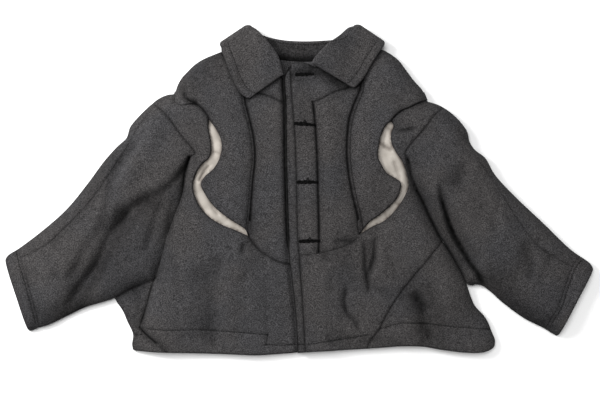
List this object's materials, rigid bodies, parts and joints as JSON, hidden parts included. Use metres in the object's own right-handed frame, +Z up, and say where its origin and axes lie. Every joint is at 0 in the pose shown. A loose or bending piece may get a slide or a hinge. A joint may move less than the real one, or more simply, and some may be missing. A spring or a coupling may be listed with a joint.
{
  "type": "blouson jacket",
  "caption": "Cropped wool blouson jacket with a wide pointed collar, button placket and curved chest slits over a pale lining, laid flat on its back.",
  "frame": {"origin": "middle of the bounding box, on the surface that the jacket lies on", "axes": "+X from the wearer's right to the wearer's left, +Y from the hem to the collar, +Z up from the surface; the front faces up"},
  "size_m": [1.1729, 0.6587, 0.0466],
  "materials": {
    "wool": "heathered charcoal melton wool with a short matt nap",
    "collar_wool": "the same melton, two plies, pressed and topstitched",
    "lining": "smooth cream lining with a faint sheen",
    "button": "dark resin, hidden under the placket"
  },
  "bodies": {
    "root": {"back": "wool", "yoke_right": "wool", "centre_front_right": "wool", "wing_right": "wool", "side_front_right": "wool", "gore_right": "wool", "front_edge_band": "wool", "placket": "wool", "centre_front_left": "wool", "wing_left": "wool", "side_front_left": "wool", "gore_left": "wool", "upper_sleeve_right": "wool", "under_sleeve_right": "wool", "cuff_right": "wool", "upper_sleeve_left": "wool", "under_sleeve_left": "wool", "cuff_left": "wool", "collar": "collar_wool", "lining_right": "lining", "lining_left": "lining", "button_1": "button", "button_2": "button", "button_3": "button", "button_4": "button"}
  },
  "joints": []
}
